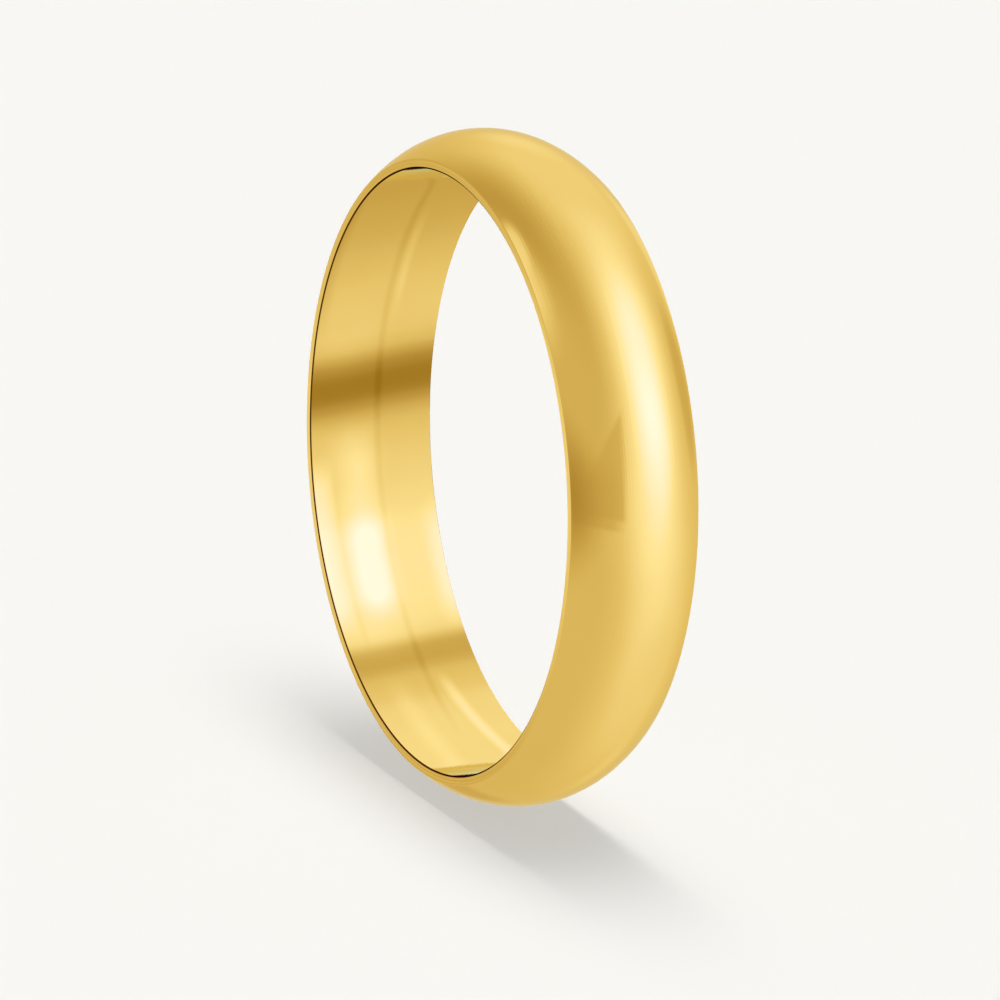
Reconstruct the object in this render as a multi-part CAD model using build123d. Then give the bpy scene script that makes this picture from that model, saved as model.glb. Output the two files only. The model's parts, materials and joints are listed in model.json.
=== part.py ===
from build123d import *
import math
import os

# Lined wedding band: a domed shell closed on the inside by a straight sleeve.
# All sizes in millimetres. The band stands upright like a wheel: its axis is Y,
# +Z is up and the origin is the centre of the finger hole.

FINGER_DIAMETER = 17.75       # inside diameter, the ring size
BAND_WIDTH = 4.0              # rim face to rim face
CROWN_THICKNESS = 1.07        # finger hole to the top of the dome
EDGE_THICKNESS = 0.28         # finger hole to the foot of the dome, at the rim

SHELL_WALL = 0.25             # thickness of the domed shell, square to the dome
SLEEVE_WALL = 0.15            # thickness of the inner sleeve
SOLDER_FILM = 0.02            # solder between sleeve and shell at the rim
SOLDER_FILLET = 0.06          # height of the solder bead left inside the hollow

FINGER_EDGE_DEPTH = 0.05      # bevel where the rim meets the finger hole, into the wall
FINGER_EDGE_WIDTH = 0.03      # the same bevel, along the hole
OUTER_EDGE_ROUND = 0.03       # polished round where the rim meets the dome

HALF_WIDTH = BAND_WIDTH / 2
BORE_RADIUS = FINGER_DIAMETER / 2
SLEEVE_OUTER_RADIUS = BORE_RADIUS + SLEEVE_WALL
LAND_RADIUS = SLEEVE_OUTER_RADIUS + SOLDER_FILM      # inside of the shell's rim
CROWN_RADIUS = BORE_RADIUS + CROWN_THICKNESS
EDGE_RADIUS = BORE_RADIUS + EDGE_THICKNESS

# The dome is one arc through both rims and the crown.
DOME_RISE = CROWN_RADIUS - EDGE_RADIUS
DOME_ARC_RADIUS = (HALF_WIDTH**2 + DOME_RISE**2) / (2 * DOME_RISE)
DOME_CENTRE = CROWN_RADIUS - DOME_ARC_RADIUS
HOLLOW_ARC_RADIUS = DOME_ARC_RADIUS - SHELL_WALL
HOLLOW_CROWN = CROWN_RADIUS - SHELL_WALL


def hollow_half_width(radius):
    """Half width of the hollow under the dome at a distance from the band's axis."""
    return math.sqrt(HOLLOW_ARC_RADIUS**2 - (radius - DOME_CENTRE) ** 2)


def section(*edges):
    """Flat face from closed edges drawn as (width, radius), stood in the YZ plane."""
    return Plane.YZ * make_face(Wire(list(edges)))


def spin(face):
    """Solid swept by a section turned once round the band's axis."""
    return revolve(face, axis=Axis.Y, revolution_arc=360)


def rim_vertices(face, radius):
    """The two corners of a section that lie on the rim faces at one radius."""
    return [
        corner
        for corner in face.vertices()
        if abs(abs(corner.Y) - HALF_WIDTH) < 1e-6 and abs(corner.Z - radius) < 1e-6
    ]


def shell_section():
    """Domed wall with a narrow foot at each rim that lands on the sleeve."""
    foot = hollow_half_width(LAND_RADIUS)
    face = section(
        Line((-HALF_WIDTH, LAND_RADIUS), (-HALF_WIDTH, EDGE_RADIUS)),
        ThreePointArc((-HALF_WIDTH, EDGE_RADIUS), (0, CROWN_RADIUS), (HALF_WIDTH, EDGE_RADIUS)),
        Line((HALF_WIDTH, EDGE_RADIUS), (HALF_WIDTH, LAND_RADIUS)),
        Line((HALF_WIDTH, LAND_RADIUS), (foot, LAND_RADIUS)),
        ThreePointArc((foot, LAND_RADIUS), (0, HOLLOW_CROWN), (-foot, LAND_RADIUS)),
        Line((-foot, LAND_RADIUS), (-HALF_WIDTH, LAND_RADIUS)),
    )
    return fillet(rim_vertices(face, EDGE_RADIUS), OUTER_EDGE_ROUND)


def sleeve_section():
    """Straight liner with a fine bevel at each finger edge."""
    bevel_radius = BORE_RADIUS + FINGER_EDGE_DEPTH
    bore_half_width = HALF_WIDTH - FINGER_EDGE_WIDTH
    return section(
        Line((-HALF_WIDTH, bevel_radius), (-HALF_WIDTH, SLEEVE_OUTER_RADIUS)),
        Line((-HALF_WIDTH, SLEEVE_OUTER_RADIUS), (HALF_WIDTH, SLEEVE_OUTER_RADIUS)),
        Line((HALF_WIDTH, SLEEVE_OUTER_RADIUS), (HALF_WIDTH, bevel_radius)),
        Line((HALF_WIDTH, bevel_radius), (bore_half_width, BORE_RADIUS)),
        Line((bore_half_width, BORE_RADIUS), (-bore_half_width, BORE_RADIUS)),
        Line((-bore_half_width, BORE_RADIUS), (-HALF_WIDTH, bevel_radius)),
    )


def solder_section(side):
    """Solder film under one foot of the shell, ending in a small bead in the hollow.

    side is -1 for the front rim, on the -Y side, and +1 for the back rim.
    """
    rim = side * HALF_WIDTH
    foot = side * hollow_half_width(LAND_RADIUS)
    bead_top_radius = LAND_RADIUS + SOLDER_FILLET
    bead_top = side * hollow_half_width(bead_top_radius)
    bead_toe = foot - side * SOLDER_FILLET
    middle_radius = LAND_RADIUS + SOLDER_FILLET / 2
    middle = side * hollow_half_width(middle_radius)
    return section(
        Line((rim, SLEEVE_OUTER_RADIUS), (rim, LAND_RADIUS)),
        Line((rim, LAND_RADIUS), (foot, LAND_RADIUS)),
        ThreePointArc((foot, LAND_RADIUS), (middle, middle_radius), (bead_top, bead_top_radius)),
        Line((bead_top, bead_top_radius), (bead_toe, SLEEVE_OUTER_RADIUS)),
        Line((bead_toe, SLEEVE_OUTER_RADIUS), (rim, SLEEVE_OUTER_RADIUS)),
    )


def outer_shell():
    """Half-round outside of the band."""
    return spin(shell_section())


def inner_sleeve():
    """Straight tube that touches the finger."""
    return spin(sleeve_section())


def rim_solder(side):
    """Ring of solder that closes one rim."""
    return spin(solder_section(side))


NODES = {
    "outer_shell": outer_shell(),
    "inner_sleeve": inner_sleeve(),
    "rim_solder_front": rim_solder(-1),
    "rim_solder_back": rim_solder(1),
}

os.makedirs("parts", exist_ok=True)
for name, solid in NODES.items():
    solid.label = name
    export_step(solid, f"parts/{name}.step")
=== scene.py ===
import json
import logging
import math
from dataclasses import dataclass, field
from enum import Enum
from typing import Iterable, Sequence

import bpy
from mathutils import Matrix, Vector


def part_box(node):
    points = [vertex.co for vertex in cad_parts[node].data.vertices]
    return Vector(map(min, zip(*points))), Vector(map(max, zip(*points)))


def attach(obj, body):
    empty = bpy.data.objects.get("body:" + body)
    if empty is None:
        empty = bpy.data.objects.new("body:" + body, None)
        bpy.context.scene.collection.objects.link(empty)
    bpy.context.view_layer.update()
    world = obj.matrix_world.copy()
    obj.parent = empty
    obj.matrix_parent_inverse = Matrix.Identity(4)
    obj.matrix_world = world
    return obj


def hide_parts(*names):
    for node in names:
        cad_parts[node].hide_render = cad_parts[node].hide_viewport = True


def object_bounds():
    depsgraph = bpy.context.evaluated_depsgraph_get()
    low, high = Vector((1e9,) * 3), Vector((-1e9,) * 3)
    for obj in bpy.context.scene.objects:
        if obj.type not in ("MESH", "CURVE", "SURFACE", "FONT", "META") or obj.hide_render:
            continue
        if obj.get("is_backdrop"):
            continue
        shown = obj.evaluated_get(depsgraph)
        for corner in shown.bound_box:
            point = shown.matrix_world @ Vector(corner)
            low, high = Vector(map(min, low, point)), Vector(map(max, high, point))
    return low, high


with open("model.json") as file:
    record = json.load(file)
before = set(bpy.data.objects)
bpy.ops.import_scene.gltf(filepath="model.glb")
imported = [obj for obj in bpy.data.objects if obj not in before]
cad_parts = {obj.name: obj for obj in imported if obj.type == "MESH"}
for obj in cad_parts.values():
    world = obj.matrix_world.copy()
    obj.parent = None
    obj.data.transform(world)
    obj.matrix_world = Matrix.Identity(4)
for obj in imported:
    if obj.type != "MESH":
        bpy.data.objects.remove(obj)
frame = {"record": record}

log = logging.getLogger("wedding_band")

MM = 0.001                        # one millimetre, in metres
TURN_STEPS = 360                  # flats round one full turn of every ring mesh
SAME_PLACE = 1e-8                 # metres; closer section points share a vertex

Colour = tuple[float, float, float]
Place = tuple[float, float, float]


# ---------------------------------------------------------------- objects


def put_in_scene(name: str, data: bpy.types.ID) -> bpy.types.Object:
    """New object, linked to the scene.

    Args:
        name: name of the object.
        data: its mesh, lamp or camera.

    Returns:
        The new object.
    """
    made = bpy.data.objects.new(name, data)
    bpy.context.collection.objects.link(made)
    return made


def mesh_object(
    name: str, verts: Sequence[Place], faces: Sequence[Sequence[int]]
) -> bpy.types.Object:
    """New mesh object, linked to the scene.

    Args:
        name: name of the mesh and of the object.
        verts: places of the vertices, in metres.
        faces: vertex numbers of each face.

    Returns:
        The new object.
    """
    mesh = bpy.data.meshes.new(name)
    mesh.from_pydata(verts, [], faces)
    return put_in_scene(name, mesh)


# ---------------------------------------------------------------- ring meshes


@dataclass(frozen=True)
class ProfilePoint:
    """One point of a ring's cross-section, with the way its surface faces there.

    width and radius are in metres: along the band's axis, and away from it.
    """

    width: float
    radius: float
    facing_width: float
    facing_radius: float


Run = list[ProfilePoint]


def straight_run(start: tuple[float, float], end: tuple[float, float], steps: int = 1) -> Run:
    """Straight stretch of a section whose surface faces to the left of its travel.

    Args:
        start: (width, radius) of its first point, in metres.
        end: (width, radius) of its last point, in metres.
        steps: number of equal pieces.

    Returns:
        The points, all with the same facing.
    """
    along = Vector(end) - Vector(start)
    facing = Vector((-along.y, along.x)).normalized()
    points = [Vector(start) + along * (i / steps) for i in range(steps + 1)]
    return [ProfilePoint(p.x, p.y, facing.x, facing.y) for p in points]


def arc_run(
    centre: tuple[float, float], radius: float, first: float, last: float, steps: int, side: int = 1
) -> Run:
    """Circular stretch of a section.

    Args:
        centre: (width, radius) of the arc's centre, in metres.
        radius: arc radius in metres.
        first: angle of the first point, in radians from the +width direction.
        last: angle of the last point.
        steps: number of equal pieces.
        side: 1 where the surface faces away from the centre, -1 where it faces it.

    Returns:
        The points from first to last.
    """
    run = []
    for i in range(steps + 1):
        angle = first + (last - first) * i / steps
        c, s = math.cos(angle), math.sin(angle)
        run.append(
            ProfilePoint(centre[0] + radius * c, centre[1] + radius * s, side * c, side * s)
        )
    return run


def same_place(a: ProfilePoint, b: ProfilePoint) -> bool:
    """True where two section points share one vertex."""
    return abs(a.width - b.width) < SAME_PLACE and abs(a.radius - b.radius) < SAME_PLACE


def lathe(name: str, runs: Sequence[Run]) -> bpy.types.Object:
    """Closed ring mesh turned from a closed section about the band's axis.

    Args:
        name: name of the new object.
        runs: stretches of the section, end to end; the last one meets the first.

    Returns:
        The new object, with exact surface normals on every face corner.
    """
    section: list[ProfilePoint] = []
    edges: list[tuple[int, int, ProfilePoint, ProfilePoint]] = []
    for run in runs:
        if not section or not same_place(section[-1], run[0]):
            section.append(run[0])
        for before, after in zip(run, run[1:]):
            start = len(section) - 1
            if same_place(section[0], after) and run is runs[-1]:
                edges.append((start, 0, before, after))
            else:
                section.append(after)
                edges.append((start, start + 1, before, after))
    turns = [
        (math.cos(math.tau * k / TURN_STEPS), math.sin(math.tau * k / TURN_STEPS))
        for k in range(TURN_STEPS)
    ]
    count = len(section)
    verts = [(p.radius * c, p.width, p.radius * s) for c, s in turns for p in section]
    faces, corner_normals = [], []
    for k, (c, s) in enumerate(turns):
        following = (k + 1) % TURN_STEPS
        cn, sn = turns[following]
        for a, b, pa, pb in edges:
            quad = [
                (k * count + a, pa, c, s),
                (k * count + b, pb, c, s),
                (following * count + b, pb, cn, sn),
                (following * count + a, pa, cn, sn),
            ]
            faces.append([corner[0] for corner in quad])
            corner_normals += [
                (p.facing_radius * cc, p.facing_width, p.facing_radius * ss)
                for _, p, cc, ss in quad
            ]
    obj = mesh_object(name, verts, faces)
    obj.data.polygons.foreach_set("use_smooth", [True] * len(faces))
    obj.data.normals_split_custom_set(corner_normals)
    obj.data.validate()
    return obj


# ---------------------------------------------------------------- node helpers


class Wiring:
    """Adds nodes to one node tree and joins them."""

    def __init__(self, tree: bpy.types.NodeTree) -> None:
        """Takes the tree that the nodes go into."""
        self.tree = tree

    def node(
        self, kind: str, inputs: Iterable[object] = (), **settings: object
    ) -> bpy.types.Node:
        """New node, with its properties set and its inputs fed.

        Args:
            kind: the tool's own name for this kind of node.
            inputs: value or socket for each input in turn; None leaves one alone.
            settings: the node's properties.

        Returns:
            The new node.
        """
        made = self.tree.nodes.new(kind)
        for name, value in settings.items():
            setattr(made, name, value)
        for socket, value in zip(made.inputs, inputs):
            self.feed(socket, value)
        return made

    def feed(self, socket: bpy.types.NodeSocket, value: object) -> None:
        """Links a socket to another socket, or gives it a constant.

        Args:
            socket: the input to feed.
            value: a socket, a constant, or None to leave the input alone.
        """
        if isinstance(value, bpy.types.NodeSocket):
            self.tree.links.new(value, socket)
        elif value is not None:
            socket.default_value = value

    def maths(self, operation: str, *values: object) -> bpy.types.NodeSocket:
        """Result of a Math node."""
        return self.node("ShaderNodeMath", values, operation=operation).outputs[0]

    def split(self, vector: object) -> Sequence[bpy.types.NodeSocket]:
        """The x, y and z of a vector."""
        return self.node("ShaderNodeSeparateXYZ", [vector]).outputs

    def dot(self, a: object, b: object) -> bpy.types.NodeSocket:
        """Dot product of two vectors."""
        made = self.node("ShaderNodeVectorMath", (a, b), operation="DOT_PRODUCT")
        return made.outputs["Value"]

    def fade(
        self, value: object, low: object, high: object, to_low: object = 0.0, to_high: object = 1.0
    ) -> bpy.types.NodeSocket:
        """Smooth step of a value from one range to another."""
        ranges = (value, low, high, to_low, to_high)
        return self.node("ShaderNodeMapRange", ranges, interpolation_type="SMOOTHSTEP").outputs[0]

    def mix(self, factor: object, a: object, b: object) -> bpy.types.NodeSocket:
        """Value between a and b."""
        return self.node("ShaderNodeMix", (factor, None, a, b), data_type="FLOAT").outputs[0]

    def mix_colour(
        self, factor: object, a: object, b: object, blend: str = "MIX"
    ) -> bpy.types.NodeSocket:
        """Colour between a and b, or between a and its blend with b."""
        inputs = (factor, None, None, None, None, None, a, b)
        made = self.node("ShaderNodeMix", inputs, data_type="RGBA", blend_type=blend)
        return made.outputs[2]

    def noise(self, vector: object, scale: object, detail: float) -> bpy.types.NodeSocket:
        """Soft noise over a vector, from 0 to 1."""
        return self.node("ShaderNodeTexNoise", (vector, None, scale, detail)).outputs[0]

    def end(self, kind: str, shader: bpy.types.NodeSocket) -> None:
        """Ends the tree in an output node of a kind, which shows the shader."""
        self.feed(self.node(kind).inputs["Surface"], shader)


def bare_wiring(owner: bpy.types.Material | bpy.types.World) -> Wiring:
    """Empties the tree of a new material or world.

    Args:
        owner: the material or world.

    Returns:
        The wiring of its tree.
    """
    owner.use_nodes = True
    owner.node_tree.nodes.clear()
    return Wiring(owner.node_tree)


@dataclass(frozen=True)
class Port:
    """One input or output of a shader node group."""

    name: str
    kind: str = "NodeSocketFloat"
    default: object = 0.0


class Effect:
    """Shader node group that is built once and placed wherever it is needed."""

    title = "effect"
    takes: tuple[Port, ...] = ()
    gives: tuple[Port, ...] = ()

    def __init__(self) -> None:
        """Builds the group's tree."""
        self.tree = bpy.data.node_groups.new(self.title, "ShaderNodeTree")
        for port in self.takes:
            made = self.tree.interface.new_socket(port.name, in_out="INPUT", socket_type=port.kind)
            made.default_value = port.default
        for port in self.gives:
            self.tree.interface.new_socket(port.name, in_out="OUTPUT", socket_type=port.kind)
        wire = Wiring(self.tree)
        inputs = wire.node("NodeGroupInput").outputs
        outputs = wire.node("NodeGroupOutput").inputs
        for name, value in self.body(wire, inputs).items():
            wire.feed(outputs[name], value)

    def body(self, wire: Wiring, inputs: bpy.types.NodeOutputs) -> dict[str, object]:
        """Nodes inside the group.

        Args:
            wire: wiring of the group's own tree.
            inputs: the group's input sockets.

        Returns:
            The value of each output, by name.
        """
        raise NotImplementedError

    def place(self, wire: Wiring, **values: object) -> bpy.types.NodeOutputs:
        """Puts the group into a tree.

        Args:
            wire: wiring of the tree that uses the group.
            values: input values or sockets, by name with _ for spaces.

        Returns:
            The placed group's outputs.
        """
        made = wire.node("ShaderNodeGroup", node_tree=self.tree)
        for name, value in values.items():
            wire.feed(made.inputs[name.replace("_", " ")], value)
        return made.outputs


# ---------------------------------------------------------------- gold finishes


class PolishLines(Effect):
    """Fine lines that a polishing wheel leaves round the band."""

    title = "polish_lines"
    takes = (
        Port("Position", "NodeSocketVector", (0.0, 0.0, 0.0)),
        Port("Lines per mm", default=14.0),
        Port("Contrast", default=0.5),
    )
    gives = (Port("Height"), Port("Haze"))
    least_radius = 1e-6               # metres; keeps the axis from a division by nothing
    detail = 3.0
    haze_from, haze_to = 0.5, 0.75

    def body(self, wire: Wiring, inputs: bpy.types.NodeOutputs) -> dict[str, object]:
        """Noise that is stretched round the band, from a position in metres.

        Args:
            wire: wiring of the group's own tree.
            inputs: the group's input sockets.

        Returns:
            The height of the lines and the haze between them.
        """
        x, y, z = wire.split(inputs["Position"])
        squares = wire.maths("ADD", wire.maths("MULTIPLY", x, x), wire.maths("MULTIPLY", z, z))
        radius = wire.maths("SQRT", squares)
        safe = wire.maths("MAXIMUM", radius, self.least_radius)
        across = wire.maths("MULTIPLY", wire.maths("MULTIPLY", y, 1 / MM), inputs["Lines per mm"])
        depth = wire.maths("MULTIPLY", wire.maths("MULTIPLY", radius, 1 / MM),
                           inputs["Lines per mm"])
        along = wire.node("ShaderNodeCombineXYZ", (
            wire.maths("DIVIDE", x, safe), wire.maths("ADD", across, depth),
            wire.maths("DIVIDE", z, safe),
        ))
        grain = wire.noise(along.outputs[0], 1.0, self.detail)
        height = wire.maths("MULTIPLY", grain, inputs["Contrast"])
        return {"Height": height, "Haze": wire.fade(grain, self.haze_from, self.haze_to)}


class HandlingHaze(Effect):
    """Broad, faint patches where a polished surface is a little less bright."""

    title = "handling_haze"
    takes = (
        Port("Position", "NodeSocketVector", (0.0, 0.0, 0.0)),
        Port("Patch mm", default=3.0),
        Port("Clean", default=0.02),
        Port("Hazy", default=0.05),
    )
    gives = (Port("Roughness"), Port("Patch"))
    detail = 4.0
    patch_from, patch_to = 0.35, 0.7

    def body(self, wire: Wiring, inputs: bpy.types.NodeOutputs) -> dict[str, object]:
        """Low noise mixed between a clean and a hazy roughness.

        Args:
            wire: wiring of the group's own tree.
            inputs: the group's input sockets.

        Returns:
            The roughness and the patches behind it.
        """
        scale = wire.maths("DIVIDE", 1 / MM, inputs["Patch mm"])
        noise = wire.noise(inputs["Position"], scale, self.detail)
        patch = wire.fade(noise, self.patch_from, self.patch_to)
        return {"Roughness": wire.mix(patch, inputs["Clean"], inputs["Hazy"]), "Patch": patch}


class FineScratches(Effect):
    """Sparse hairline scratches in many directions."""

    title = "fine_scratches"
    takes = (
        Port("Position", "NodeSocketVector", (0.0, 0.0, 0.0)),
        Port("Scratch mm", default=0.6),
        Port("Amount", default=0.2),
    )
    gives = (Port("Mask"),)
    stretch = (1.0, 2.5, 0.6)
    line_width = 0.012
    detail = 2.0
    broken_from, broken_to = 0.56, 0.62

    def body(self, wire: Wiring, inputs: bpy.types.NodeOutputs) -> dict[str, object]:
        """Thin lines along the cell borders of a stretched cell pattern, in broken lengths.

        Args:
            wire: wiring of the group's own tree.
            inputs: the group's input sockets.

        Returns:
            The mask of the scratches.
        """
        scale = wire.maths("DIVIDE", 1 / MM, inputs["Scratch mm"])
        breaks = wire.noise(inputs["Position"], scale, self.detail)
        stretched = wire.node(
            "ShaderNodeVectorMath", (inputs["Position"], self.stretch), operation="MULTIPLY"
        )
        cells = wire.node("ShaderNodeTexVoronoi", feature="DISTANCE_TO_EDGE")
        wire.feed(cells.inputs["Vector"], stretched.outputs[0])
        wire.feed(cells.inputs["Scale"], scale)
        line = wire.fade(cells.outputs[0], self.line_width, 0.0)
        broken = wire.fade(breaks, self.broken_from, self.broken_to)
        lines = wire.maths("MULTIPLY", line, broken)
        return {"Mask": wire.maths("MULTIPLY", lines, inputs["Amount"])}


class Polish(Enum):
    """How finely a gold surface is polished."""

    MIRROR = "mirror"
    SMOOTH = "smooth"
    GROUND = "ground"


@dataclass(frozen=True)
class PolishGrade:
    """Numbers behind one grade of polish."""

    clean: float
    hazy: float
    line_depth: float
    scratches: float


GRADES: dict[Polish, PolishGrade] = {
    Polish.MIRROR: PolishGrade(clean=0.035, hazy=0.05, line_depth=0.004, scratches=0.03),
    Polish.SMOOTH: PolishGrade(clean=0.04, hazy=0.055, line_depth=0.003, scratches=0.03),
    Polish.GROUND: PolishGrade(clean=0.12, hazy=0.18, line_depth=0.01, scratches=0.0),
}


@dataclass(frozen=True)
class GoldFinish:
    """Polished yellow gold.

    Lengths are in millimetres; tone is the colour of a mirror-bright patch,
    deep the slightly redder colour where the polish is a little hazy, and edge
    how much of the colour is kept at a low angle.
    """

    name: str
    polish: Polish
    tone: Colour = (1.0, 0.75, 0.28)
    deep: Colour = (0.985, 0.73, 0.265)
    edge: Colour = (1.0, 0.92, 0.68)
    patch_mm: float = 3.2
    lines_per_mm: float = 16.0
    bump_mm: float = 0.0004

    def material(self, effects: "Effects") -> bpy.types.Material:
        """Builds the finish as a node material.

        Args:
            effects: the shared shader node groups.

        Returns:
            The new material.
        """
        grade = GRADES[self.polish]
        made = bpy.data.materials.new(self.name)
        wire = bare_wiring(made)
        place = wire.node("ShaderNodeTexCoord").outputs["Object"]
        haze = effects.haze.place(
            wire, Position=place, Patch_mm=self.patch_mm, Clean=grade.clean, Hazy=grade.hazy
        )
        lines = effects.lines.place(
            wire, Position=place, Lines_per_mm=self.lines_per_mm, Contrast=1.0
        )
        marks = effects.scratches.place(wire, Position=place, Amount=grade.scratches)
        tone = wire.mix_colour(haze["Patch"], (*self.tone, 1.0), (*self.deep, 1.0))
        rough = wire.maths("MULTIPLY_ADD", lines["Haze"], grade.line_depth, haze["Roughness"])
        bump = wire.node("ShaderNodeBump")
        bump.inputs["Strength"].default_value = 1.0
        bump.inputs["Distance"].default_value = self.bump_mm * grade.line_depth
        wire.feed(bump.inputs["Height"], lines["Height"])
        shader = wire.node("ShaderNodeBsdfPrincipled")
        shader.inputs["Metallic"].default_value = 1.0
        wire.feed(shader.inputs["Specular Tint"], (*self.edge, 1.0))
        wire.feed(shader.inputs["Base Color"], tone)
        wire.feed(shader.inputs["Roughness"], wire.maths("ADD", rough, marks["Mask"]))
        wire.feed(shader.inputs["Normal"], bump.outputs[0])
        wire.end("ShaderNodeOutputMaterial", shader.outputs[0])
        return made


class Effects:
    """The shared shader node groups, built once."""

    def __init__(self) -> None:
        """Builds every group."""
        self.lines = PolishLines()
        self.haze = HandlingHaze()
        self.scratches = FineScratches()


# ---------------------------------------------------------------- the band


@dataclass(frozen=True)
class BandSizes:
    """Sizes that the band's pieces share, in metres."""

    bore_radius: float
    sleeve_radius: float
    crown_radius: float
    half_width: float
    film: float = 0.02 * MM
    edge_thickness: float = 0.28 * MM
    shell_wall: float = 0.25 * MM

    @classmethod
    def from_frame(cls) -> "BandSizes":
        """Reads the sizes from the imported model.

        Returns:
            The sizes.
        """
        bore = next(m for m in frame["record"]["mounts"] if m["name"] == "finger_bore")
        sleeve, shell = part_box("inner_sleeve")[1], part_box("outer_shell")[1]
        return cls(bore["dims"]["r_mm"] * MM, sleeve.x, shell.x, shell.y)

    @property
    def land_radius(self) -> float:
        """Inside of the shell's foot, on top of the solder."""
        return self.sleeve_radius + self.film

    @property
    def edge_radius(self) -> float:
        """Foot of the dome at the rim."""
        return self.bore_radius + self.edge_thickness

    @property
    def dome_arc(self) -> float:
        """Radius of the dome's arc across the band."""
        rise = self.crown_radius - self.edge_radius
        return (self.half_width**2 + rise**2) / (2 * rise)

    @property
    def dome_centre(self) -> float:
        """Distance from the band's axis to the centre of the dome's arc."""
        return self.crown_radius - self.dome_arc

    def hollow_half_width(self, radius: float) -> float:
        """Half width of the hollow under the dome at one radius."""
        arc = self.dome_arc - self.shell_wall
        return math.sqrt(arc**2 - (radius - self.dome_centre) ** 2)


@dataclass
class RingPiece:
    """One turned piece of the band, standing in for one node of the model."""

    sizes: BandSizes
    node: str
    slot: str
    finish: GoldFinish

    def section(self) -> list[Run]:
        """Closed cross-section of the piece, clockwise with +width to the right."""
        raise NotImplementedError

    def dress(self, obj: bpy.types.Object, effects: Effects) -> None:
        """Gives the whole piece its finish."""
        obj.data.materials.append(self.finish.material(effects))

    def build(self, effects: Effects) -> None:
        """Turns the piece, dresses it and ties it to the frame.

        Args:
            effects: the shared shader node groups.
        """
        obj = lathe(f"{self.node}_surface", self.section())
        self.dress(obj, effects)
        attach(obj, "root")
        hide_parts(self.node)
        log.info("%s: %d faces in %s", obj.name, len(obj.data.polygons), self.finish.name)


@dataclass
class DomedShell(RingPiece):
    """Half-round outside of the band, from rim to rim."""

    edge_round: float = 0.03 * MM
    dome_steps: int = 64
    round_steps: int = 8
    hollow_steps: int = 24

    def section(self) -> list[Run]:
        """Rims, rounded edges, dome, and the feet and hollow inside.

        Returns:
            The stretches of the section.
        """
        s = self.sizes
        w, rho, arc = s.half_width, self.edge_round, s.dome_arc
        lift = math.sqrt((arc - rho) ** 2 - (w - rho) ** 2)
        round_centre = s.dome_centre + lift
        turn = math.atan2(lift, w - rho)
        hollow, foot = arc - s.shell_wall, s.hollow_half_width(s.land_radius)
        inner_turn = math.atan2(s.land_radius - s.dome_centre, foot)
        middle = (0.0, s.dome_centre)
        return [
            straight_run((-w, s.land_radius), (-w, round_centre)),
            arc_run((-w + rho, round_centre), rho, math.pi, math.pi - turn, self.round_steps),
            arc_run(middle, arc, math.pi - turn, turn, self.dome_steps),
            arc_run((w - rho, round_centre), rho, turn, 0.0, self.round_steps),
            straight_run((w, round_centre), (w, s.land_radius)),
            straight_run((w, s.land_radius), (foot, s.land_radius)),
            arc_run(
                middle, hollow, inner_turn, math.pi - inner_turn, self.hollow_steps, side=-1
            ),
            straight_run((-foot, s.land_radius), (-w, s.land_radius)),
        ]


@dataclass
class FingerSleeve(RingPiece):
    """Straight liner with a fine dull bevel at each finger edge, its colour painted dark as a line
    of shade.
    """

    # painted shade: the dark finish that the two bevels wear
    painted_shade_finish: GoldFinish
    bevel_depth: float = 0.05 * MM
    bevel_width: float = 0.03 * MM
    wall_steps: int = 16

    def section(self) -> list[Run]:
        """Outside wall, rims, bevels and finger wall.

        Returns:
            The stretches of the section.
        """
        s = self.sizes
        w, bore, wall = s.half_width, s.bore_radius, s.half_width - self.bevel_width
        foot = bore + self.bevel_depth
        return [
            straight_run((-w, s.sleeve_radius), (w, s.sleeve_radius)),
            straight_run((w, s.sleeve_radius), (w, foot)),
            straight_run((w, foot), (wall, bore)),
            straight_run((wall, bore), (-wall, bore), self.wall_steps),
            straight_run((-wall, bore), (-w, foot)),
            straight_run((-w, foot), (-w, s.sleeve_radius)),
        ]

    def dress(self, obj: bpy.types.Object, effects: Effects) -> None:
        """Polishes the sleeve and leaves its two bevels dull, their colour painted dark as shade.

        Args:
            obj: the turned sleeve.
            effects: the shared shader node groups.
        """
        super().dress(obj, effects)
        obj.data.materials.append(self.painted_shade_finish.material(effects))
        wall = self.sizes.half_width - self.bevel_width
        foot = self.sizes.bore_radius + self.bevel_depth
        # painted shade: the bevel faces take the dark-painted finish
        for face in obj.data.polygons:
            radius = math.hypot(face.center.x, face.center.z)
            if wall < abs(face.center.y) < self.sizes.half_width and radius < foot:
                face.material_index = 1


@dataclass
class RimSolder(RingPiece):
    """Solder that joins shell and sleeve at one rim; side is -1 front, 1 back."""

    side: int = -1
    bead: float = 0.06 * MM

    def section(self) -> list[Run]:
        """Thin film under the shell's foot, ending in a bead in the hollow.

        Returns:
            The stretches of the section.
        """
        s = self.sizes
        top = s.land_radius + self.bead
        rim, foot = s.half_width, s.hollow_half_width(s.land_radius)
        corners = [
            (rim, s.sleeve_radius),
            (foot - self.bead, s.sleeve_radius),
            (s.hollow_half_width(top), top),
            (foot, s.land_radius),
            (rim, s.land_radius),
        ]
        if self.side < 0:
            corners = [(-across, radius) for across, radius in reversed(corners)]
        return [straight_run(a, b) for a, b in zip(corners, corners[1:] + corners[:1])]


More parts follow.
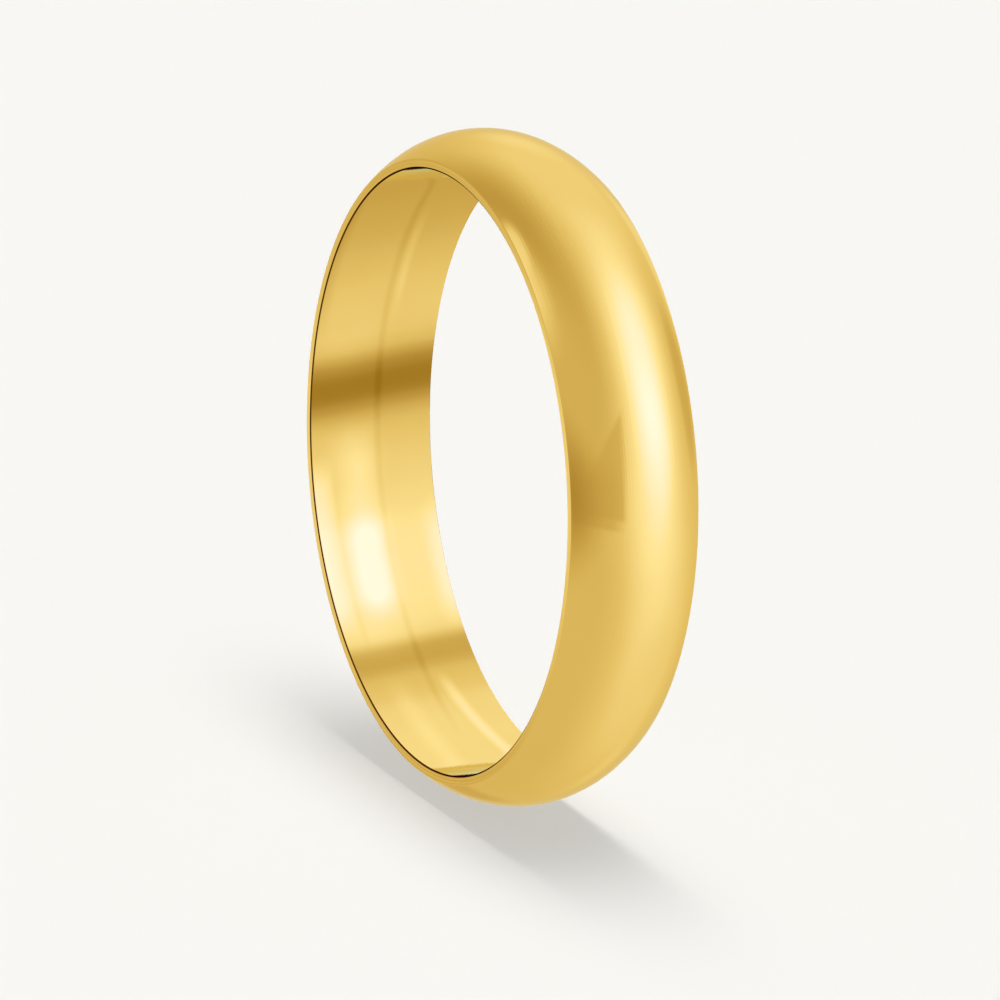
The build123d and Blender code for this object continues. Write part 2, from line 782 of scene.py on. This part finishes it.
@dataclass
class Band:
    """The whole wedding band: shell, sleeve and the two soldered rims."""

    sizes: BandSizes = field(default_factory=BandSizes.from_frame)

    def pieces(self) -> Iterable[RingPiece]:
        """The band's pieces from the outside in.

        Yields:
            Each piece, with its finish.
        """
        dome = GoldFinish("dome_gold", Polish.MIRROR)
        wall = GoldFinish("finger_wall_gold", Polish.SMOOTH, patch_mm=2.4)
        seam = GoldFinish("solder_gold", Polish.SMOOTH)
        # painted shade: the bevels' dark brown colour stands in for the line of shade along the
        # finger edges
        edge = GoldFinish("painted_shade_bevel_gold", Polish.GROUND, tone=(0.13, 0.055, 0.005),
                          deep=(0.11, 0.045, 0.004), edge=(0.2, 0.1, 0.03))
        yield DomedShell(self.sizes, "outer_shell", "gold_shell", dome)
        yield FingerSleeve(self.sizes, "inner_sleeve", "gold_sleeve", wall, edge)
        yield RimSolder(self.sizes, "rim_solder_front", "gold_solder", seam, side=-1)
        yield RimSolder(self.sizes, "rim_solder_back", "gold_solder", seam, side=1)

    def build(self, effects: Effects) -> None:
        """Builds every piece."""
        for piece in self.pieces():
            piece.build(effects)


# ---------------------------------------------------------------- studio


@dataclass(frozen=True)
class Stop:
    """One stop of a brightness ramp."""

    at: float
    level: float


class StudioTint(Effect):
    """Warm tint in the shade and a cool one in the brightest parts."""

    title = "studio_tint"
    takes = (Port("Level"),)
    gives = (Port("Colour", "NodeSocketColor"),)
    tints: tuple[tuple[float, Colour], ...] = (
        (0.0, (0.0, 0.0, 0.0)),
        (0.35, (0.352, 0.24, 0.046)),
        (0.6, (0.6, 0.49, 0.24)),
        (0.8, (0.8, 0.73, 0.5)),
        (1.0, (1.0, 1.02, 1.0)),
        (1.3, (1.25, 1.3, 2.6)),
    )

    def body(self, wire: Wiring, inputs: bpy.types.NodeOutputs) -> dict[str, object]:
        """Colour ramp over the level, from 0 to the last tint's level.

        Args:
            wire: wiring of the group's own tree.
            inputs: the group's input sockets.

        Returns:
            The colour.
        """
        top = self.tints[-1][0]
        ramp = wire.node("ShaderNodeValToRGB", [wire.maths("DIVIDE", inputs["Level"], top)])
        stops = ramp.color_ramp.elements
        while len(stops) < len(self.tints):
            stops.new(0.5)
        for stop, (at, colour) in zip(stops, self.tints):
            stop.position = at / top
            stop.color = (*colour, 1.0)
        return {"Colour": ramp.outputs[0]}


class SoftStreak(Effect):
    """Soft-edged rectangle on a flat map of two coordinates."""

    title = "soft_streak"
    takes = (
        Port("Across"), Port("Along"), Port("Centre"), Port("Half width", default=1.0),
        Port("From"), Port("To", default=1.0), Port("Soft", default=1.0),
    )
    gives = (Port("Mask"),)

    def body(self, wire: Wiring, inputs: bpy.types.NodeOutputs) -> dict[str, object]:
        """Smooth fall across, and smooth ends along.

        Args:
            wire: wiring of the group's own tree.
            inputs: the group's input sockets.

        Returns:
            The mask of the rectangle.
        """
        off = wire.maths("ABSOLUTE", wire.maths("SUBTRACT", inputs["Across"], inputs["Centre"]))
        across = wire.fade(off, inputs["Half width"], 0.0)
        start = wire.fade(inputs["Along"], wire.maths("SUBTRACT", inputs["From"], inputs["Soft"]),
                          wire.maths("ADD", inputs["From"], inputs["Soft"]))
        end = wire.fade(inputs["Along"], wire.maths("ADD", inputs["To"], inputs["Soft"]),
                        wire.maths("SUBTRACT", inputs["To"], inputs["Soft"]))
        return {"Mask": wire.maths("MULTIPLY", across, wire.maths("MULTIPLY", start, end))}


@dataclass(frozen=True)
class Streak:
    """Brighter or darker streak on the bore screen; degrees round, mm across.

    slant moves its centre across for each degree below its upper end.
    """

    centre: float
    half_width: float
    first: float
    last: float
    gain: float
    soft: float = 4.0
    slant: float = 0.0


@dataclass
class BoreScreen:
    """Curved screen just inside the band, seen only by reflections.

    It stands off the finger wall by a small gap and carries the soft pattern of
    light and shade that the wall mirrors. Angles are in degrees up from the
    middle of the -X side, and gap, front and back in metres. lean turns the
    pattern by so many degrees for each millimetre across the band, and
    brightest is the top of the scale that the stops are given on.
    """

    gap: float = 0.3 * MM
    low: float = -96.0
    high: float = 58.0
    front: float = -1.95 * MM
    back: float = 2.3 * MM
    lean: float = -0.7
    brightest: float = 2.0
    stops: tuple[Stop, ...] = (
        Stop(-96, 0.90), Stop(-68, 0.92), Stop(-62, 0.83), Stop(-58, 0.77), Stop(-55, 0.64),
        Stop(-53, 0.61), Stop(-50, 0.76), Stop(-47, 0.95), Stop(-42, 1.01), Stop(-28, 1.02),
        Stop(-23, 0.95), Stop(-11, 0.83), Stop(-8, 0.79), Stop(-5, 0.68), Stop(-2, 0.48),
        Stop(1.5, 0.37), Stop(4, 0.42), Stop(7, 0.61), Stop(10, 0.79), Stop(14, 0.84),
        Stop(20, 0.82), Stop(28, 0.75), Stop(36, 0.66), Stop(46, 0.60), Stop(58, 0.57),
    )
    streaks: tuple[Streak, ...] = (
        Streak(-0.35, 1.1, -42, -25, 0.34, soft=4),
        Streak(-0.35, 1.1, -25, -9, 0.14, soft=6),
        Streak(-1.75, 0.9, -43, -14, 0.22, soft=4),
        Streak(-0.8, 2.0, -15, -6, 0.05, soft=3),
        Streak(-0.8, 2.0, -52, -44, 0.06, soft=3),
        Streak(-0.8, 2.0, 4, 12, 0.05, soft=3),
        Streak(-1.15, 0.2, -48, -14, -0.05),
        Streak(0.36, 0.2, -70, 55, -0.06, soft=8),
        Streak(0.68, 0.22, 18, 38, 0.07, soft=6),
        Streak(0.85, 0.32, -90, -60, 0.15, soft=3, slant=0.025),
        Streak(-0.75, 0.6, -90, -60, 0.06, soft=4, slant=0.01),
        Streak(2.1, 0.7, -46, -26, 0.16, soft=6),
        Streak(-1.8, 0.4, 16, 48, -0.10, soft=6),
    )

    def ramp(self, wire: Wiring, along: bpy.types.NodeSocket) -> bpy.types.NodeSocket:
        """Smooth curve through the screen's stops.

        Args:
            wire: wiring of the screen's material.
            along: degrees round the band.

        Returns:
            The level there.
        """
        first, last = self.stops[0].at, self.stops[-1].at
        made = wire.node("ShaderNodeFloatCurve")
        made.mapping.clip_max_y = self.brightest
        share = wire.maths("DIVIDE", wire.maths("SUBTRACT", along, first), last - first)
        wire.feed(made.inputs["Value"], share)
        points = made.mapping.curves[0].points
        while len(points) < len(self.stops):
            points.new(0.5, 0.5)
        for point, stop in zip(points, self.stops):
            point.location = ((stop.at - first) / (last - first), stop.level)
        made.mapping.update()
        return made.outputs[0]

    def pattern(
        self, wire: Wiring, place: bpy.types.NodeSocket, streak: SoftStreak
    ) -> bpy.types.NodeSocket:
        """Brightness over the screen.

        Args:
            wire: wiring of the screen's material.
            place: position in metres.
            streak: the shared streak group.

        Returns:
            The level at each place.
        """
        x, y, z = wire.split(place)
        turn = wire.maths("ARCTAN2", z, wire.maths("MULTIPLY", x, -1.0))
        along = wire.maths("DEGREES", turn)
        across = wire.maths("MULTIPLY", y, 1 / MM)
        leaned = wire.maths("MULTIPLY_ADD", across, self.lean, along)
        level = self.ramp(wire, leaned)
        for one in self.streaks:
            centre = wire.maths(
                "MULTIPLY_ADD", wire.maths("SUBTRACT", one.last, leaned), one.slant, one.centre
            )
            mask = streak.place(
                wire, Across=across, Along=leaned, Centre=centre,
                Half_width=one.half_width, From=one.first, To=one.last, Soft=one.soft,
            )["Mask"]
            level = wire.maths("MULTIPLY_ADD", mask, one.gain, level)
        return level

    def build(self, sizes: BandSizes, tint: StudioTint, streak: SoftStreak) -> None:
        """Curves the screen, lights it and hides it from all but reflections.

        Args:
            sizes: sizes of the band it stands in.
            tint: the studio's shared tint.
            streak: the shared streak group.
        """
        radius = sizes.bore_radius - self.gap
        strips = round(self.high - self.low)
        verts, faces = [], []
        for i in range(strips + 1):
            angle = math.radians(self.low + (self.high - self.low) * i / strips)
            x, z = -radius * math.cos(angle), radius * math.sin(angle)
            verts += [(x, self.front, z), (x, self.back, z)]
            if i:
                faces.append((2 * i - 2, 2 * i - 1, 2 * i + 1, 2 * i))
        obj = mesh_object("bore_screen", verts, faces)
        glow = bpy.data.materials.new("screen_light")
        wire = bare_wiring(glow)
        level = self.pattern(wire, wire.node("ShaderNodeTexCoord").outputs["Object"], streak)
        emit = wire.node("ShaderNodeEmission", [tint.place(wire, Level=level)["Colour"]])
        wire.end("ShaderNodeOutputMaterial", emit.outputs[0])
        obj.data.materials.append(glow)
        obj.visible_camera = obj.visible_diffuse = obj.visible_shadow = False
        obj.visible_transmission = obj.visible_volume_scatter = False
        obj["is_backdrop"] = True
        log.info("bore screen: %d stops, %d streaks", len(self.stops), len(self.streaks))


def heading(azimuth: float, elevation: float) -> tuple[Vector, Vector, Vector]:
    """Direction seen from the band, with its level and rising directions.

    Args:
        azimuth: degrees round from -Y towards +X.
        elevation: degrees above the floor.

    Returns:
        Unit vectors towards it, level to its right, and up across it.
    """
    a, e = math.radians(azimuth), math.radians(elevation)
    out = Vector((math.sin(a) * math.cos(e), -math.cos(a) * math.cos(e), math.sin(e)))
    level = Vector((math.cos(a), math.sin(a), 0.0))
    return out, level, out.cross(level)


WEDGE_MIDDLE, WEDGE_SLOPE = 0.25, 0.75    # top edge of a wedge, in shares of its half size
HALF_BOUNCE = 0.5                 # tells light that hasn't bounced from light that has


class PanelShape(Enum):
    """Outline of a studio panel; a wedge's top edge slants down to its left."""

    ROUND = "round"
    SQUARE = "square"
    WEDGE = "wedge"


@dataclass(frozen=True)
class StudioPanel:
    """Soft lamp, reflector or dark screen round the band.

    Angles are in degrees as seen from the band. level is its brightness (1 is
    white paper), soft, soft_rise and soft_fall the shares of its half size over
    which its sides, top and bottom fade, and opacity how far it covers what is
    behind it.
    """

    azimuth: float
    elevation: float
    half_width: float
    half_height: float
    level: float
    soft: float = 1.0
    soft_rise: float = 1.0
    soft_fall: float = 1.0
    opacity: float = 1.0
    shape: PanelShape = PanelShape.ROUND

    def cover(self, wire: Wiring, direction: bpy.types.NodeSocket) -> bpy.types.NodeSocket:
        """Mask of the panel over all directions.

        Args:
            wire: wiring of the world's tree.
            direction: unit vector of each direction.

        Returns:
            The mask, 0 off the panel and opacity on it.
        """
        out, level, rising = heading(self.azimuth, self.elevation)
        width = math.sin(math.radians(self.half_width))
        height = math.sin(math.radians(self.half_height))
        across = wire.maths("DIVIDE", wire.dot(direction, level), width)
        up = wire.maths("DIVIDE", wire.dot(direction, rising), height)
        if self.shape is PanelShape.ROUND:
            squares = wire.maths("MULTIPLY_ADD", across, across, wire.maths("MULTIPLY", up, up))
            mask = wire.fade(wire.maths("SQRT", squares), 1.0, 1.0 - self.soft)
        else:
            top = 1.0
            if self.shape is PanelShape.WEDGE:
                top = wire.maths("MULTIPLY_ADD", across, WEDGE_SLOPE, WEDGE_MIDDLE)
            below = wire.fade(wire.maths("SUBTRACT", top, up), 0.0, self.soft_rise)
            above = wire.fade(up, -1.0, self.soft_fall - 1.0)
            sides = wire.fade(wire.maths("ABSOLUTE", across), 1.0, 1.0 - self.soft)
            mask = wire.maths("MULTIPLY", sides, wire.maths("MULTIPLY", below, above))
        ahead = wire.maths("GREATER_THAN", wire.dot(direction, out), 0.0)
        return wire.maths("MULTIPLY", wire.maths("MULTIPLY", mask, ahead), self.opacity)


def backdrop(wire: Wiring, colour: object, strength: object = 1.0) -> bpy.types.NodeSocket:
    """Background shader of one colour and strength."""
    return wire.node("ShaderNodeBackground", (colour, strength)).outputs[0]


def switched(
    wire: Wiring, switch: object, off: bpy.types.NodeSocket, on: bpy.types.NodeSocket
) -> bpy.types.NodeSocket:
    """One of two shaders, by a switch of 0 or 1."""
    return wire.node("ShaderNodeMixShader", (switch, off, on)).outputs[0]


@dataclass
class Studio:
    """Pale tent round the band, with soft lamps and dim screens.

    What the gold mirrors is apart from what lights the floor: panels are only
    mirrored, lamps and ambient only light. The tent goes from lower_level to
    upper_level over horizon, two heights of a unit direction. What has been
    mirrored more often is dimmed by deep_level past the first of deep_bounces
    and tinted past each of them. gain is the strength of what the gold mirrors
    and spill of what it then throws on the floor. paper is the plain colour
    that is seen beyond the floor.
    """

    upper_level: float = 0.62
    lower_level: float = 0.70
    horizon: tuple[float, float] = (-0.1, 0.4)
    paper: Colour = (0.939, 0.930, 0.896)
    panels: tuple[StudioPanel, ...] = (
        StudioPanel(-130, 45, 60, 85, 0.86, soft=0.65),
        StudioPanel(147, 45, 57, 53, 1.20),
        StudioPanel(-25, 30, 63, 78, 0.50, soft=0.55),
        StudioPanel(10, 30, 85, 45, 0.65, soft=0.50),
        StudioPanel(-5, 43, 28, 20, 0.89),
        StudioPanel(127, 8, 83, 88, 1.07, soft=0.90),
        StudioPanel(134, 23, 30, 38, 1.28, soft=0.95),
        StudioPanel(160, -45, 88, 60, 1.44, soft=0.70, opacity=0.20),
        StudioPanel(-168, 6, 15, 16, 0.62, soft=0.70),
        StudioPanel(56, 6, 38, 13, 0.60, soft=0.5, soft_rise=0.9, soft_fall=0.1, opacity=0.7,
                    shape=PanelShape.SQUARE),
        StudioPanel(69, 16, 25, 20, 0.58, soft=0.3, soft_rise=0.15, soft_fall=0.1, opacity=0.6,
                    shape=PanelShape.WEDGE),
        StudioPanel(30, 0, 52, 27, 0.43),
        StudioPanel(-116, 20, 14, 16, 0.98, opacity=0.6),
        StudioPanel(-99, -38, 14, 10, 0.55, soft=0.6, opacity=0.6),
        StudioPanel(-142, -46, 18, 10, 0.88, opacity=0.5),
        StudioPanel(-24, 48, 14, 11, 0.92, soft=0.6, opacity=0.8),
        StudioPanel(-140, 4, 14, 12, 0.93, soft=0.6, opacity=0.7),
        StudioPanel(-66, -13, 17, 17, 0.58, soft=0.6),
        StudioPanel(-65, -15.2, 14, 3.4, 0.86),
    )
    lamps: tuple[StudioPanel, ...] = (StudioPanel(180, 87, 48, 11, 6.0, soft=0.6),)
    ambient: float = 0.11
    spill: float = 0.15
    gain: float = 1.015
    deep_level: float = 0.8
    deep_tint: Colour = (1.0, 1.3, 2.3)
    deep_bounces: tuple[float, ...] = (1.5, 2.5, 3.5)

    def layered(
        self, wire: Wiring, direction: bpy.types.NodeSocket, level: object,
        panels: Iterable[StudioPanel],
    ) -> object:
        """Brightness with each panel laid over those before it.

        Args:
            wire: wiring of the world's tree.
            direction: unit vector of each direction.
            level: brightness without the panels.
            panels: the panels, lowest first.

        Returns:
            The brightness.
        """
        for panel in panels:
            level = wire.mix(panel.cover(wire, direction), level, panel.level)
        return level

    def mirrored(
        self, wire: Wiring, direction: bpy.types.NodeSocket, depth: bpy.types.NodeSocket,
        tint: StudioTint,
    ) -> bpy.types.NodeSocket:
        """Colour that the gold mirrors from each direction.

        Args:
            wire: wiring of the world's tree.
            direction: unit vector of each direction.
            depth: how many times the light has been mirrored.
            tint: the studio's shared tint.

        Returns:
            The colour.
        """
        rise = wire.split(direction)[2]
        tent = wire.fade(rise, *self.horizon, self.lower_level, self.upper_level)
        deep = wire.maths("GREATER_THAN", depth, self.deep_bounces[0])
        level = wire.maths("MULTIPLY", self.layered(wire, direction, tent, self.panels),
                           wire.mix(deep, 1.0, self.deep_level))
        seen = tint.place(wire, Level=level)["Colour"]
        for bounces in self.deep_bounces:
            deeper = wire.maths("GREATER_THAN", depth, bounces)
            seen = wire.mix_colour(deeper, seen, (*self.deep_tint, 1.0), "MULTIPLY")
        return seen

    def light(self, tint: StudioTint) -> None:
        """Builds the world: the studio for reflections and soft light, plain paper for the eye.

        Args:
            tint: the studio's shared tint.
        """
        world = bpy.data.worlds.new("studio")
        bpy.context.scene.world = world
        wire = bare_wiring(world)
        direction = wire.node("ShaderNodeTexCoord").outputs["Generated"]
        path = wire.node("ShaderNodeLightPath").outputs
        straight = wire.maths("LESS_THAN", path["Diffuse Depth"], HALF_BOUNCE)
        seen = backdrop(wire, self.mirrored(wire, direction, path["Glossy Depth"], tint),
                        wire.mix(straight, self.spill, self.gain))
        white = (1.0, 1.0, 1.0, 1.0)
        lit = backdrop(wire, white, self.layered(wire, direction, self.ambient, self.lamps))
        plain = backdrop(wire, (*self.paper, 1.0))
        around = switched(wire, path["Is Glossy Ray"], lit, seen)
        wire.end("ShaderNodeOutputWorld", switched(wire, path["Is Camera Ray"], around, plain))
        log.info("studio: %d panels, %d lamps", len(self.panels), len(self.lamps))


@dataclass(frozen=True)
class FillLamp:
    """Far lamp that stands for light from all round.

    It lights the paper, throws no shadow of its own and isn't mirrored by the
    gold. Angles are in degrees, strength in watts per square metre.
    """

    azimuth: float = 64.0
    elevation: float = 60.0
    strength: float = 2.383
    spread: float = 8.0

    def hang(self) -> None:
        """Makes the lamp, turned towards the band."""
        data = bpy.data.lights.new("fill_lamp", "SUN")
        data.energy, data.angle = self.strength, math.radians(self.spread)
        data.use_shadow = data.cycles.cast_shadow = False
        obj = put_in_scene("fill_lamp", data)
        out, _, _ = heading(self.azimuth, self.elevation)
        obj.rotation_euler = out.to_track_quat("Z", "Y").to_euler()
        obj.visible_glossy = False
        log.info("fill lamp: %.3f W/m2", self.strength)


@dataclass
class Floor:
    """Pale paper that the band stands on; its half size is in metres."""

    half_size: float = 4.0
    steps: int = 8
    paper: Colour = (0.790, 0.783, 0.755)

    def build(self) -> None:
        """Lays the paper under the band."""
        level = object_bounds()[0].z
        spots = [self.half_size * (2 * i / self.steps - 1) for i in range(self.steps + 1)]
        verts = [(x, y, level) for y in spots for x in spots]
        row = self.steps + 1
        corners = [r * row + c for r in range(self.steps) for c in range(self.steps)]
        faces = [(first, first + 1, first + row + 1, first + row) for first in corners]
        obj = mesh_object("paper_floor", verts, faces)
        paper = bpy.data.materials.new("pale_paper")
        wire = bare_wiring(paper)
        shader = wire.node("ShaderNodeBsdfDiffuse", [(*self.paper, 1.0)])
        wire.end("ShaderNodeOutputMaterial", shader.outputs[0])
        obj.data.materials.append(paper)
        obj.visible_glossy = False
        obj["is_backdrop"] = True
        log.info("floor: level with z = %.5f m", level)


@dataclass
class BandCamera:
    """Long lens looking a little down on the band.

    Angles are in degrees, lens and sensor in millimetres, the rest in metres.
    The lens is aimed beside the middle of the band by aim_right and aim_up, so
    that the band sits high in the frame.
    """

    azimuth: float = 64.1
    elevation: float = 15.2
    roll: float = 2.57
    distance: float = 0.213
    lens: float = 262.1
    sensor: float = 36.0
    nearest: float = 0.01
    farthest: float = 20.0
    aim_right: float = 0.12 * MM
    aim_up: float = -0.95 * MM

    def place(self) -> None:
        """Makes the scene's camera."""
        back, level, rising = heading(self.azimuth, self.elevation)
        c, s = math.cos(math.radians(self.roll)), math.sin(math.radians(self.roll))
        right, up = c * level + s * rising, c * rising - s * level
        spot = back * self.distance
        away = (spot - right * self.aim_right - up * self.aim_up).normalized()
        across = up.cross(away).normalized()
        data = bpy.data.cameras.new("camera")
        data.lens, data.sensor_width = self.lens, self.sensor
        data.clip_start, data.clip_end = self.nearest, self.farthest
        obj = put_in_scene("camera", data)
        turn = Matrix((across, away.cross(across), away)).transposed().to_4x4()
        obj.matrix_world = Matrix.Translation(spot) @ turn
        bpy.context.scene.camera = obj
        log.info("camera: %.0f mm lens, %.0f mm away", self.lens, self.distance / MM)


def main() -> None:
    """Builds the band, its studio and the camera."""
    logging.basicConfig(level=logging.INFO, format="%(message)s")
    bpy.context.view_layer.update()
    scene = bpy.context.scene
    scene.view_settings.view_transform = "Standard"
    scene.view_settings.look = "None"
    effects, tint, streak = Effects(), StudioTint(), SoftStreak()
    band = Band()
    band.build(effects)
    BoreScreen().build(band.sizes, tint, streak)
    Floor().build()
    FillLamp().hang()
    Studio().light(tint)
    BandCamera().place()


if __name__ == "__main__":
    main()
